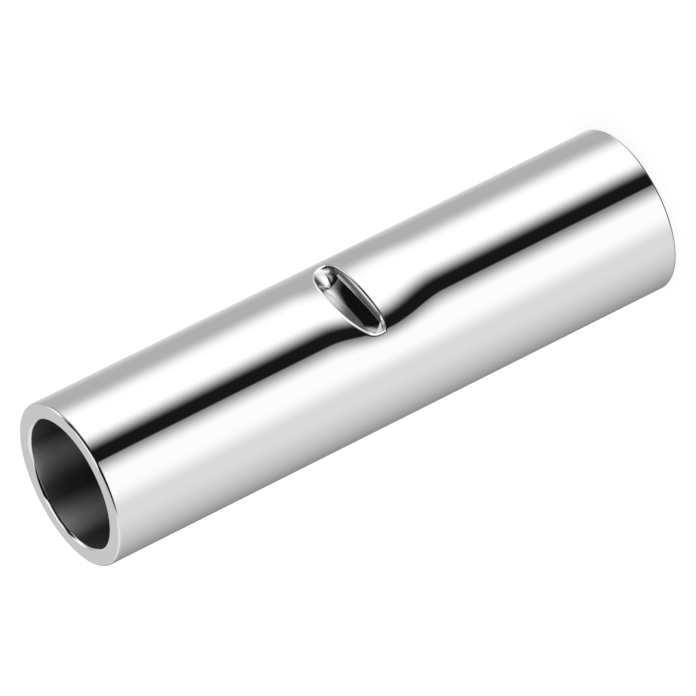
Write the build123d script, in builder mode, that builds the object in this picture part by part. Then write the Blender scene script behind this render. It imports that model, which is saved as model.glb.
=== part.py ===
"""Butt splice connector: a plated copper tube, open at both ends, with a wire stop pressed
into the middle of one side.

Millimetres. The tube stands on its lower end: Z runs up the bore, the origin is at the
centre of the lower end, and the press mark faces -Y.
"""

import os
from math import acos, cos, degrees, pi, radians, sin, sqrt

from build123d import *

# The tube
bore_diameter = 7.1
wall = 0.95
length = 34.5
edge_round = 0.16  # outer corner of each end
mouth_chamfer = 0.12  # inner corner of each end

# The press mark, left by a punch with a flat side below and a rounded nose, which slopes
# away from the flat side and is hollow from left to right
flat_below_middle = 0.39  # the flat side, below the middle of the tube
mark_depth = 1.11  # at the flat side, halfway between the mark's two ends
nose_radius = 3.75
nose_slope = 9.5  # degrees, where the nose starts at the flat side
nose_hollow_radius = 20
nose_corner = 0.25  # between the nose and the flat side
rim_round = 0.12
punch_swing = 40  # degrees about the hollow's axis, enough to reach across the tube

# The wall that the punch pushes into the bore is the wire stop
stop_corner_round = 0.3

# The press also draws the wall around the mark into a shallow dish
dish_depth = 0.36
dish_beyond_nose = 0.55  # lengthwise, past the pushed-in wall
dish_beyond_stop = 12  # degrees, past the ends of the stop
dish_lip = 0.004  # how far the dish's surface runs out above the round wall
dish_steps = 24  # surface points across the dish, each way

# The bore is drawn in a little all round at the stop
waist_depth = 0.01
waist_beyond_dish = 0.15

bore_radius = bore_diameter / 2
outer_radius = bore_radius + wall
flat_height = length / 2 - flat_below_middle
mark_floor = outer_radius - mark_depth  # from the tube's axis, as the next two are
nose_centre = mark_floor + nose_radius * cos(radians(nose_slope))
stop_floor = mark_floor - wall
nose_drop = nose_radius * sin(radians(nose_slope))  # its centre's, below the flat side
nose_height = flat_height - nose_drop
mark_height = sqrt(nose_radius**2 - (nose_centre - outer_radius) ** 2) - nose_drop
clear_of_tube = nose_centre + outer_radius
hollow_axis = Axis((0, nose_hollow_radius - mark_floor, 0), (0, 0, 1))
dish_half_length = mark_height + wall + dish_beyond_nose
dish_half_angle = degrees(acos(stop_floor / bore_radius)) + dish_beyond_stop


def outside_dish(radius):
    """All that lies outside a round wall of this radius once the press has dished it."""
    rows = []
    for i in range(dish_steps + 1):
        along = 2 * i / dish_steps - 1
        row = []
        for j in range(dish_steps + 1):
            around = 2 * j / dish_steps - 1
            share = (cos(along * pi / 2) * cos(around * pi / 2)) ** 2
            reach = radius + dish_lip - (dish_depth + dish_lip) * share
            angle = radians(around * dish_half_angle)
            height = flat_height + along * dish_half_length
            row.append(Vector(reach * sin(angle), -reach * cos(angle), height))
        rows.append(row)
    surface = Face.make_surface_from_array_of_points(rows, tol=0.001)
    return Solid.extrude(surface, Vector(0, -clear_of_tube, 0))


# Side view of the punch, with its flat side level at the bottom
with BuildSketch(Plane.YZ) as punch_side:
    with BuildLine():
        CenterArc((-nose_centre, nose_height), nose_radius, nose_slope, 90 - nose_slope)
        Polyline(
            (-nose_centre, nose_height + nose_radius),
            (-clear_of_tube, nose_height + nose_radius),
            (-clear_of_tube, flat_height),
            (-mark_floor, flat_height),
        )
    make_face()
    fillet(punch_side.vertices().sort_by(Axis.X)[-1], nose_corner)

# The hollow across the nose comes from swinging the side view about the hollow's axis
with BuildPart() as punch:
    add(punch_side.sketch.rotate(hollow_axis, -punch_swing / 2))
    revolve(axis=hollow_axis, revolution_arc=punch_swing)

# The pushed-in wall keeps about its thickness, so the stop is the punch grown by the wall,
# but straight across
with BuildSketch(Plane.YZ) as stop_side:
    offset(punch_side.sketch_local, amount=wall)

# The space inside the tube
with BuildPart() as bore:
    with BuildSketch(Plane.XZ):
        with BuildLine():
            mouth_radius = bore_radius + mouth_chamfer
            waist_half_length = dish_half_length + waist_beyond_dish
            waist_low = (bore_radius, flat_height - waist_half_length)
            waist_high = (bore_radius, flat_height + waist_half_length)
            ThreePointArc(waist_low, (bore_radius - waist_depth, flat_height), waist_high)
            Polyline(
                waist_high,
                (bore_radius, length - mouth_chamfer),
                (mouth_radius, length),
                (0, length),
                (0, 0),
                (mouth_radius, 0),
                (bore_radius, mouth_chamfer),
                waist_low,
            )
        make_face()
    revolve(axis=Axis.Z)
    add(outside_dish(bore_radius), mode=Mode.SUBTRACT)
    extrude(stop_side.sketch, amount=outer_radius, both=True, mode=Mode.SUBTRACT)
    stop_corners = edges(Select.LAST).filter_by(Axis.X, reverse=True).sort_by(Axis.Z)
    fillet(stop_corners, stop_corner_round)

with BuildPart() as splice_barrel:
    Cylinder(outer_radius, length, align=(Align.CENTER, Align.CENTER, Align.MIN))
    fillet(edges().filter_by(GeomType.CIRCLE), edge_round)
    add(bore.part, mode=Mode.SUBTRACT)
    add(outside_dish(outer_radius), mode=Mode.SUBTRACT)
    add(punch.part, mode=Mode.SUBTRACT)
    mark_rim = edges(Select.NEW).filter_by(GeomType.BSPLINE)
    fillet(mark_rim, rim_round)

splice_barrel.part.label = "splice_barrel"
os.makedirs("parts", exist_ok=True)
export_step(splice_barrel.part, "parts/splice_barrel.step")
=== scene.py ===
"""Studio picture of a butt splice connector: a tin-plated copper tube, open at both ends, with
a wire stop pressed into the middle of one side.

The tube stands on its lower end on a white floor. A light tent, which only reflections see,
stands around it: its softboxes and flags are the bright and dark bands in the metal.
"""

from math import cos, pi, radians, sin, tan

import bpy
import numpy as np
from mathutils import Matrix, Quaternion, Vector


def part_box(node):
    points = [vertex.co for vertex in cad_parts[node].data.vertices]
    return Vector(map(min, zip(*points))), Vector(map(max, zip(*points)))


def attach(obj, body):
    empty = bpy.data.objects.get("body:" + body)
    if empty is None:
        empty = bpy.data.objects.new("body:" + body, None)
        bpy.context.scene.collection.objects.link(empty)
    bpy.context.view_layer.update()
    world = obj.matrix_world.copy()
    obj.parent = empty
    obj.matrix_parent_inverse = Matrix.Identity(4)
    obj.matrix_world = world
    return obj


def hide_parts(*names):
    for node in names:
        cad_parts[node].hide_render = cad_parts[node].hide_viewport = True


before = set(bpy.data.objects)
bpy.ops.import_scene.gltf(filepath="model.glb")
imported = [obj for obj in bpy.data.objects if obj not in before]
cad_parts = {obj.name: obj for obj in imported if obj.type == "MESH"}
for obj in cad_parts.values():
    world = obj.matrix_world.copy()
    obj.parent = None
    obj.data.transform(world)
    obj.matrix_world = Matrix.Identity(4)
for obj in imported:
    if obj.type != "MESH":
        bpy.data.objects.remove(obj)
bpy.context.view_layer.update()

MM = 0.001
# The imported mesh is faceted, so it reaches less far on some sides than on others. The least
# reach keeps this tube inside its box
low_corner, high_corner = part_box("splice_barrel")
length = (high_corner.z - low_corner.z) / MM
outer_radius = min(-low_corner.x, high_corner.x, -low_corner.y, high_corner.y) / MM

# The tube's other sizes, in millimetres
bore_radius = 3.55
wall = 0.95
edge_round = 0.16  # outer corner of each end
mouth_chamfer = 0.12  # inner corner of each end
mouth_ease = 0.03  # of the chamfer's own two corners
# The press mark, left by a round punch with a flat side below. Its rounded nose slopes away
# from the flat side and is hollow from left to right
flat_height = length / 2 - 0.39
mark_floor = 3.39  # from the tube's axis, halfway along the flat side
nose_radius = 3.75
nose_slope = radians(9.5)
nose_centre = mark_floor + nose_radius * cos(nose_slope)
nose_height = flat_height - nose_radius * sin(nose_slope)
nose_corner = 0.05  # between the nose and the flat side
hollow_centre = 20 - mark_floor
punch_radius = 3.25
punch_height = flat_height + 1.8
punch_edge_round = 0.7  # between the nose and the round side
rim_round = 0.08
# The wire stop inside
stop_bend = 0.25
stop_corner_round = 0.3
# The shallow dish around the mark
dish_depth = 0.36
dish_half_length = 3.59
dish_half_angle = radians(58.6)

# Where the mesh's rings and columns grow closer together
mark_low, mark_high = flat_height - 0.35, flat_height + 2.35
stop_low, stop_high = flat_height - 1.4, flat_height + 2.8
dish_low, dish_high = flat_height - dish_half_length, flat_height + dish_half_length
fine_half_angle = radians(50)
holding = 0.01  # from a round corner to the ring that keeps the end face's shading flat

# The camera's place, as found from the photograph's outline
view_azimuth = radians(-35.94)  # from the side with the press mark
view_elevation = radians(23.94)
view_roll = radians(-116.43)
view_distance = 507.58
view_offset_right = -0.128
view_offset_up = -0.141
lens = 517.24


def rounded_meeting(a, b, radius):
    """Distance to the solid that lies inside both a and b, with its corner rounded."""
    corner = np.hypot(np.maximum(a + radius, 0), np.maximum(b + radius, 0))
    return np.minimum(np.maximum(a, b), -radius) + corner


def side_view(y, z, corner_round):
    """Distance to the punch, seen from the side."""
    nose = np.hypot(y + nose_centre, z - nose_height) - nose_radius
    return rounded_meeting(nose, flat_height - z, corner_round)


def distance_to_punch(x, y, z):
    swung = hollow_centre - np.hypot(x, y - hollow_centre)
    round_side = np.hypot(x, z - punch_height) - punch_radius
    return rounded_meeting(side_view(swung, z, nose_corner), round_side, punch_edge_round)


def distance_to_stop(x, y, z):
    """Distance to the pushed-in wall: the punch's side view, grown by the wall."""
    return side_view(y, z, stop_bend) - wall


def pressed_wall(radius, distance_to_press, rounding, angles, heights):
    """Points of a round wall once a shape is pressed into it.

    Each point slides inwards from the round wall, along a slanted line, until it meets the
    pressed surface. The slants let the points spread over the mark's steep sides too.
    """
    slant = tan(radians(25))
    slanted_reach, level_from = 3, 0.95 * radius  # sideways: the slant fades between them
    longest_slide = 1.6
    halvings = 40
    angle, start = np.meshgrid(angles, heights)
    start_x, start_y = radius * np.sin(angle), -radius * np.cos(angle)
    pressed = np.abs(angle) < radians(75)
    fading = np.clip((level_from - np.abs(start_x)) / (level_from - slanted_reach), 0, 1)
    outwards = np.where(pressed, slant * fading * start_x / slanted_reach, 0)
    nearest = np.zeros_like(angle)
    farthest = np.full_like(angle, longest_slide)
    for _ in range(halvings):
        slide = (nearest + farthest) / 2
        x = start_x + slide * outwards
        y = start_y + slide
        z = start - slide * slant
        along = np.clip((z - flat_height) / dish_half_length, -1, 1)
        around = np.clip(np.arctan2(x, -y) / dish_half_angle, -1, 1)
        dish = dish_depth * (np.cos(along * pi / 2) * np.cos(around * pi / 2)) ** 2
        round_wall = np.hypot(x, y) - radius + dish
        outside = rounded_meeting(round_wall, -distance_to_press(x, y, z), rounding) > 0
        nearest = np.where(outside, slide, nearest)
        farthest = np.where(outside, farthest, slide)
    x = np.where(pressed, x, start_x)
    y = np.where(pressed, y, start_y)
    z = np.where(pressed, z, start)
    return np.stack((x, y, z), axis=-1)


def spread(*runs):
    """Values about a step apart along runs of (start, end, step), without the last end."""
    values = []
    for start, end, step in runs:
        count = max(1, round(abs(end - start) / step))
        values.append(np.linspace(start, end, count, endpoint=False))
    return np.concatenate(values)


def outside_wall(angles):
    """Its rings are closest at the mark's lower rim, and then on its flat side."""
    heights = spread(
        (edge_round, dish_low, 2),
        (dish_low, mark_low, 0.1),
        (mark_low, flat_height - 0.12, 0.05),
        (flat_height - 0.12, flat_height + 0.1, 0.012),
        (flat_height + 0.1, flat_height + 0.55, 0.02),
        (flat_height + 0.55, mark_high, 0.03),
        (mark_high, dish_high, 0.1),
        (dish_high, length - edge_round, 2),
    )
    return pressed_wall(outer_radius, distance_to_punch, rim_round, angles, heights)


def bore_wall(angles):
    heights = spread(
        (length - mouth_chamfer, stop_high, 1.2),
        (stop_high, stop_low, 0.1),
        (stop_low, dish_low, 0.3),
        (dish_low, mouth_chamfer, 1.2),
    )[1:]
    return pressed_wall(bore_radius, distance_to_stop, stop_corner_round, angles, heights)


def outer_corner(height, start, end):
    """The rounded outer corner of one end, as pairs of reach and height."""
    turns = np.radians(np.linspace(start, end, 9))
    reach = outer_radius - edge_round
    return np.column_stack(
        (reach + edge_round * np.cos(turns), height + edge_round * np.sin(turns))
    )


def mouth(turned):
    """The chamfer of the upper end, or of the lower one for turned = -1, with its corners
    eased. It holds pairs of reach and height, in the order of the rings.
    """
    end = length if turned > 0 else 0
    chamfer_reach = bore_radius + mouth_chamfer
    pairs = [
        (chamfer_reach + mouth_ease + holding, end),
        (chamfer_reach + mouth_ease, end),
        (chamfer_reach - mouth_ease * 0.3, end - turned * mouth_ease * 0.5),
        (bore_radius + mouth_ease * 0.5, end - turned * (mouth_chamfer - mouth_ease * 0.3)),
        (bore_radius, end - turned * (mouth_chamfer + mouth_ease)),
    ]
    return pairs if turned > 0 else pairs[::-1]


def level_rings(pairs, angles):
    rings = []
    for reach, height in pairs:
        x, y = reach * np.sin(angles), -reach * np.cos(angles)
        rings.append(np.column_stack((x, y, np.full_like(x, height))))
    return rings


def barrel_mesh():
    """The tube as one closed mesh of rings: up the outside, over the top, down the bore."""
    half = spread((0, fine_half_angle, radians(0.5)), (fine_half_angle, pi, radians(2.5)))
    angles = np.concatenate((half, [pi], -half[:0:-1]))
    face_edge = outer_radius - edge_round - holding
    top = [*outer_corner(length - edge_round, 0, 90), (face_edge, length), *mouth(1)]
    bottom = [*mouth(-1), (face_edge, 0), *outer_corner(edge_round, 270, 360)[:-1]]
    rings = [*outside_wall(angles), *level_rings(top, angles)]
    bore_start = len(rings) - 1
    rings += [*bore_wall(angles)]
    bore_end = len(rings)
    rings += level_rings(bottom, angles)

    points = np.array(rings)
    rows, columns = points.shape[:2]
    faces = []
    finishes = []
    for row in range(rows):
        above = (row + 1) % rows
        for column in range(columns):
            beside = (column + 1) % columns
            faces.append((
                row * columns + column,
                row * columns + beside,
                above * columns + beside,
                above * columns + column,
            ))
            finishes.append(1 if bore_start <= row < bore_end else 0)
    mesh = bpy.data.meshes.new("plated_barrel")
    mesh.from_pydata((points.reshape(-1, 3) * MM).tolist(), [], faces)
    mesh.polygons.foreach_set("use_smooth", [True] * len(faces))
    mesh.polygons.foreach_set("material_index", finishes)
    mesh.update()
    return mesh


class Shader:
    """A short way to write a node tree. Most calls add a node and return its output."""

    def __init__(self, tree):
        self.tree = tree
        tree.nodes.clear()

    def add(self, kind, output=0, settings=None, **inputs):
        """Inputs go by their socket's name, with _ for a space, or by _ and its number."""
        node = self.tree.nodes.new("ShaderNode" + kind)
        for name, value in (settings or {}).items():
            setattr(node, name, value)
        for name, value in inputs.items():
            socket = node.inputs[int(name[1:]) if name[1:].isdigit() else name.replace("_", " ")]
            if isinstance(value, bpy.types.NodeSocket):
                self.tree.links.new(value, socket)
            else:
                socket.default_value = value
        return node.outputs[output] if node.outputs else None

    def math(self, operation, a, b=0.0):
        return self.add("Math", settings={"operation": operation}, _0=a, _1=b)

    def split(self, vector):
        node = self.tree.nodes.new("ShaderNodeSeparateXYZ")
        self.tree.links.new(vector, node.inputs[0])
        return node.outputs

    def level_reach(self, x, y):
        """Distance from the upright axis."""
        squares = self.math("ADD", self.math("MULTIPLY", x, x), self.math("MULTIPLY", y, y))
        return self.math("SQRT", squares)

    def step(self, value, start, end, low=0.0, high=1.0):
        """Changes smoothly from low to high as the value goes from start to end."""
        return self.add(
            "MapRange",
            settings={"interpolation_type": "SMOOTHSTEP"},
            Value=value,
            From_Min=start,
            From_Max=end,
            To_Min=low,
            To_Max=high,
        )

    def window(self, value, start, start_softness, end, end_softness):
        """One between start and end, and none outside them."""
        opening = self.step(value, start - start_softness / 2, start + start_softness / 2)
        closing = self.step(value, end - end_softness / 2, end + end_softness / 2)
        return self.math("MULTIPLY", opening, self.math("SUBTRACT", 1.0, closing))


def painted_reflection_streak(shader, place, middle, reach, strength):
    """How much lighter a painted reflection streak along the whole tube is, fading to both
    sides. Angles are in degrees from the side across from the press mark.
    """
    x, y, _ = shader.split(place)
    angle = shader.math("DEGREES", shader.math("ARCTAN2", x, y))
    aside = shader.math("ABSOLUTE", shader.math("SUBTRACT", angle, middle))
    return shader.step(aside, 0.0, reach, low=strength, high=0.0)


def rubbed_ends(shader, place, amount):
    """How much duller the punch has rubbed the press mark's two ends."""
    x, y, z = shader.split(place)
    aside = shader.math("ABSOLUTE", x)
    above = shader.math("ABSOLUTE", shader.math("SUBTRACT", z, flat_height * MM))
    ends = shader.step(aside, 1.8 * MM, 2.4 * MM, high=amount)
    for value, start, end in ((shader.level_reach(x, y), 4.22, 4.3), (above, 2.5, 2.6)):
        near = shader.step(value, start * MM, end * MM, low=1.0, high=0.0)
        ends = shader.math("MULTIPLY", ends, near)
    return ends


def metal(name, tone, metallic, roughness, scratch_depth, painted_reflection_streaks=(), rubbed=0.0):
    """Tin plating, cloudy in its polish, with faint lines along the tube from drawing it, and
    any painted reflection streaks lightening its tone.
    """
    material = bpy.data.materials.new(name)
    material.use_nodes = True
    shader = Shader(material.node_tree)
    place = shader.add("TexCoord", output="Object")
    # painted reflections: lighter streaks along the tube raise the tone
    for streak in painted_reflection_streaks:
        tone = shader.math("ADD", painted_reflection_streak(shader, place, *streak), tone)
    clouds = shader.add("TexNoise", Vector=place, Scale=350, Detail=4)
    rough = shader.step(clouds, 0.3, 0.7, low=roughness * 0.7, high=roughness * 1.4)
    if rubbed:
        rough = shader.math("ADD", rough, rubbed_ends(shader, place, rubbed))
    stretched = shader.add("Mapping", Vector=place, Scale=(1, 1, 0.02))
    lines = shader.add("TexNoise", Vector=stretched, Scale=9000, Detail=3)
    bump = shader.add("Bump", Height=lines, Strength=0.05, Distance=scratch_depth * MM)
    surface = shader.add(
        "BsdfPrincipled",
        Base_Color=shader.add("CombineColor", _0=tone, _1=tone, _2=tone),
        Metallic=metallic,
        Roughness=rough,
        Normal=bump,
    )
    shader.add("OutputMaterial", Surface=surface)
    return material


def build_barrel():
    barrel = bpy.data.objects.new("plated_barrel", barrel_mesh())
    bpy.context.scene.collection.objects.link(barrel)
    barrel.data.materials.append(metal("polished_tin", 0.9, 1.0, 0.04, 0.002, rubbed=0.28))
    # The bore's dark tone is painted shade inside the tube, and its two lighter streaks are
    # painted reflections
    barrel.data.materials.append(metal(
        "bore_tin_painted_shade", 0.13, 0.82, 0.4, 0.01, painted_reflection_streaks=((63.4, 24, 0.55), (8.4, 24, 0.8))
    ))
    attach(barrel, "root")
    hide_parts("splice_barrel")


# The light tent's panels, painted one over another. Angles are in degrees: azimuth 0 is the
# camera's side and grows anticlockwise seen from above, and elevation 0 is level. Lean is how
# many degrees of azimuth the sides shift for each degree of elevation above leaning_from.
tent_radius = 100
tent_level = 0.78
leaning_from = -25.0
panels = [
    # name, brightness, azimuth (start, softness, end, softness, lean), elevation (first four)
    ("left wall, dimming backwards", 0.27, (-174, 12, -118, 110, 0), (-90, 1, 14, 16)),
    ("right wall", 0.47, (88, 22, 150, 40, 0), (-90, 1, 90, 1)),
    ("back wall, right half", 0.62, (150, 20, 181, 1, 0), (16, 12, 60, 20)),
    ("back wall, left half", 0.62, (-181, 1, -150, 20, 0), (16, 12, 60, 20)),
    ("grey beside the front softbox", 0.20, (-14, 2, 60, 2, 0), (-60, 10, 40, 10)),
    ("front softbox", 1.08, (-43, 30, 1, 26, 0), (-90, 1, 15, 22)),
    ("side softbox", 1.12, (14, 2, 92, 38, 0), (-58, 8, 1.8, 6)),
    ("white floor card", 1.1, (95, 26, 135, 20, 0), (-58, 8, -42, 8)),
    ("black gap over the side softbox", 0.006, (18, 14, 106, 20, 0), (3, 4, 90, 1)),
    ("glow in the gap", 0.13, (18, 14, 106, 20, 0), (3, 4, 20, 30)),
    ("strip light's dim end", 0.14, (46, 10, 80, 10, 0), (19, 5, 35, 3)),
    ("strip light", 0.95, (75, 10, 112, 10, 0), (19, 5, 34, 4)),
    ("high light, right", 1.05, (90, 12, 134, 14, 0), (33, 4, 58, 8)),
    ("black ceiling, right side", 0.006, (-62, 16, 28, 22, 1.07), (34, 3, 90, 1)),
    ("black ceiling, front", 0.006, (-62, 16, 20, 12, 0), (18, 16, 90, 1)),
    ("high light, left", 0.85, (-140, 20, -78, 20, 0), (36, 12, 62, 12)),
    ("overhead light, front right", 1.0, (12, 14, 80, 12, 0), (68, 6, 91, 1)),
    ("overhead light, back right", 1.05, (80, 12, 181, 1, 0), (64, 8, 91, 1)),
    ("overhead light, left", 0.6, (-181, 1, -80, 30, 0), (58, 12, 91, 1)),
    ("black flag", 0.009, (10.8, 2, 37.2, 25, -0.1), (-62, 6, 44, 10)),
    ("dark floor, back right", 0.06, (125, 20, 181, 1, 0), (-91, 1, -42, 8)),
    ("dark floor, back left", 0.06, (-181, 1, -125, 20, 0), (-91, 1, -42, 8)),
    ("dark under the table", 0.05, (-181, 1, 181, 1, 0), (-91, 1, -61, 6)),
]


def tent_material():
    material = bpy.data.materials.new("light_tent")
    material.use_nodes = True
    shader = Shader(material.node_tree)
    x, y, z = shader.split(shader.add("TexCoord", output="Object"))
    azimuth = shader.math("DEGREES", shader.math("ARCTAN2", y, x))
    upwards = shader.math("ARCTAN2", z, shader.level_reach(x, y))
    elevation = shader.math("DEGREES", upwards)
    risen = shader.math("SUBTRACT", elevation, leaning_from)
    light = tent_level
    for name, brightness, (*across, lean), upright in panels:
        leaned = azimuth
        if lean:
            leaned = shader.math("SUBTRACT", azimuth, shader.math("MULTIPLY", risen, lean))
        mask = shader.math(
            "MULTIPLY",
            shader.window(leaned, *across),
            shader.window(elevation, *upright),
        )
        settings = {"data_type": "FLOAT", "label": name}
        light = shader.add("Mix", settings=settings, _0=mask, _2=light, _3=brightness)
    surface = shader.add("Emission", Strength=light)
    shader.add("OutputMaterial", Surface=surface)
    return material


def ball_mesh(name, radius, rings, segments):
    points = [(0, 0, -1), (0, 0, 1)]
    for ring in range(1, rings):
        tilt = pi * ring / rings - pi / 2
        for segment in range(segments):
            turn = 2 * pi * segment / segments
            points.append((cos(tilt) * cos(turn), cos(tilt) * sin(turn), sin(tilt)))
    faces = []
    last = 2 + (rings - 2) * segments
    for segment in range(segments):
        beside = (segment + 1) % segments
        faces.append((0, 2 + beside, 2 + segment))
        faces.append((1, last + segment, last + beside))
        for ring in range(rings - 2):
            lower, upper = 2 + ring * segments, 2 + (ring + 1) * segments
            faces.append((lower + segment, lower + beside, upper + beside, upper + segment))
    mesh = bpy.data.meshes.new(name)
    mesh.from_pydata([tuple(radius * c for c in point) for point in points], [], faces)
    return mesh


def build_tent():
    """A ball around the tube, seen only in the metal."""
    mesh = ball_mesh("light_tent", tent_radius * MM, rings=32, segments=64)
    mesh.materials.append(tent_material())
    tent = bpy.data.objects.new("light_tent", mesh)
    bpy.context.scene.collection.objects.link(tent)
    tent.location = (0, 0, length / 2 * MM)
    tent.rotation_euler = (0, 0, view_azimuth - pi / 2)
    tent.visible_camera = False
    tent.visible_diffuse = False
    tent.visible_shadow = False
    tent.visible_transmission = False


def build_floor():
    """A white floor that keeps the tube's soft shadow. The metal shows the tent instead."""
    material = bpy.data.materials.new("white_floor")
    material.use_nodes = True
    shader = Shader(material.node_tree)
    seen = shader.add("LightPath", output="Is Camera Ray")
    for ray in ("Is Glossy Ray", "Is Transmission Ray"):
        seen = shader.math("MAXIMUM", seen, shader.add("LightPath", output=ray))
    lit, glowing = 0.35, 0.72  # together just past white, and less in the shadow
    diffuse = shader.add("BsdfDiffuse", Color=(lit, lit, lit, 1))
    glow = shader.add("Emission", Strength=shader.math("MULTIPLY", seen, glowing))
    shader.add("OutputMaterial", Surface=shader.add("AddShader", _0=diffuse, _1=glow))
    half = 2.0
    mesh = bpy.data.meshes.new("floor")
    mesh.from_pydata(
        [(-half, -half, 0), (half, -half, 0), (half, half, 0), (-half, half, 0)],
        [],
        [(0, 1, 2, 3)],
    )
    mesh.materials.append(material)
    floor = bpy.data.objects.new("floor", mesh)
    bpy.context.scene.collection.objects.link(floor)
    floor.visible_glossy = False


def build_world():
    world = bpy.data.worlds.new("studio")
    world.use_nodes = True
    shader = Shader(world.node_tree)
    shader.add("OutputWorld", Surface=shader.add("Background", Strength=1.0, Color=(1, 1, 1, 1)))
    bpy.context.scene.world = world
    bpy.context.scene.view_settings.view_transform = "Standard"


def build_camera():
    data = bpy.data.cameras.new("camera")
    data.sensor_width = 36
    data.lens = lens
    data.clip_start, data.clip_end = 0.01, 20
    camera = bpy.data.objects.new("camera", data)
    bpy.context.scene.collection.objects.link(camera)
    back = Vector((
        sin(view_azimuth) * cos(view_elevation),
        -cos(view_azimuth) * cos(view_elevation),
        sin(view_elevation),
    ))
    turn = back.to_track_quat("Z", "Y") @ Quaternion((0, 0, 1), view_roll)
    right, up = turn @ Vector((1, 0, 0)), turn @ Vector((0, 1, 0))
    aim = Vector((0, 0, length / 2)) + right * view_offset_right + up * view_offset_up
    camera.location = (aim + back * view_distance) * MM
    camera.rotation_mode = "QUATERNION"
    camera.rotation_quaternion = turn
    bpy.context.scene.camera = camera


build_barrel()
build_tent()
build_floor()
build_world()
build_camera()
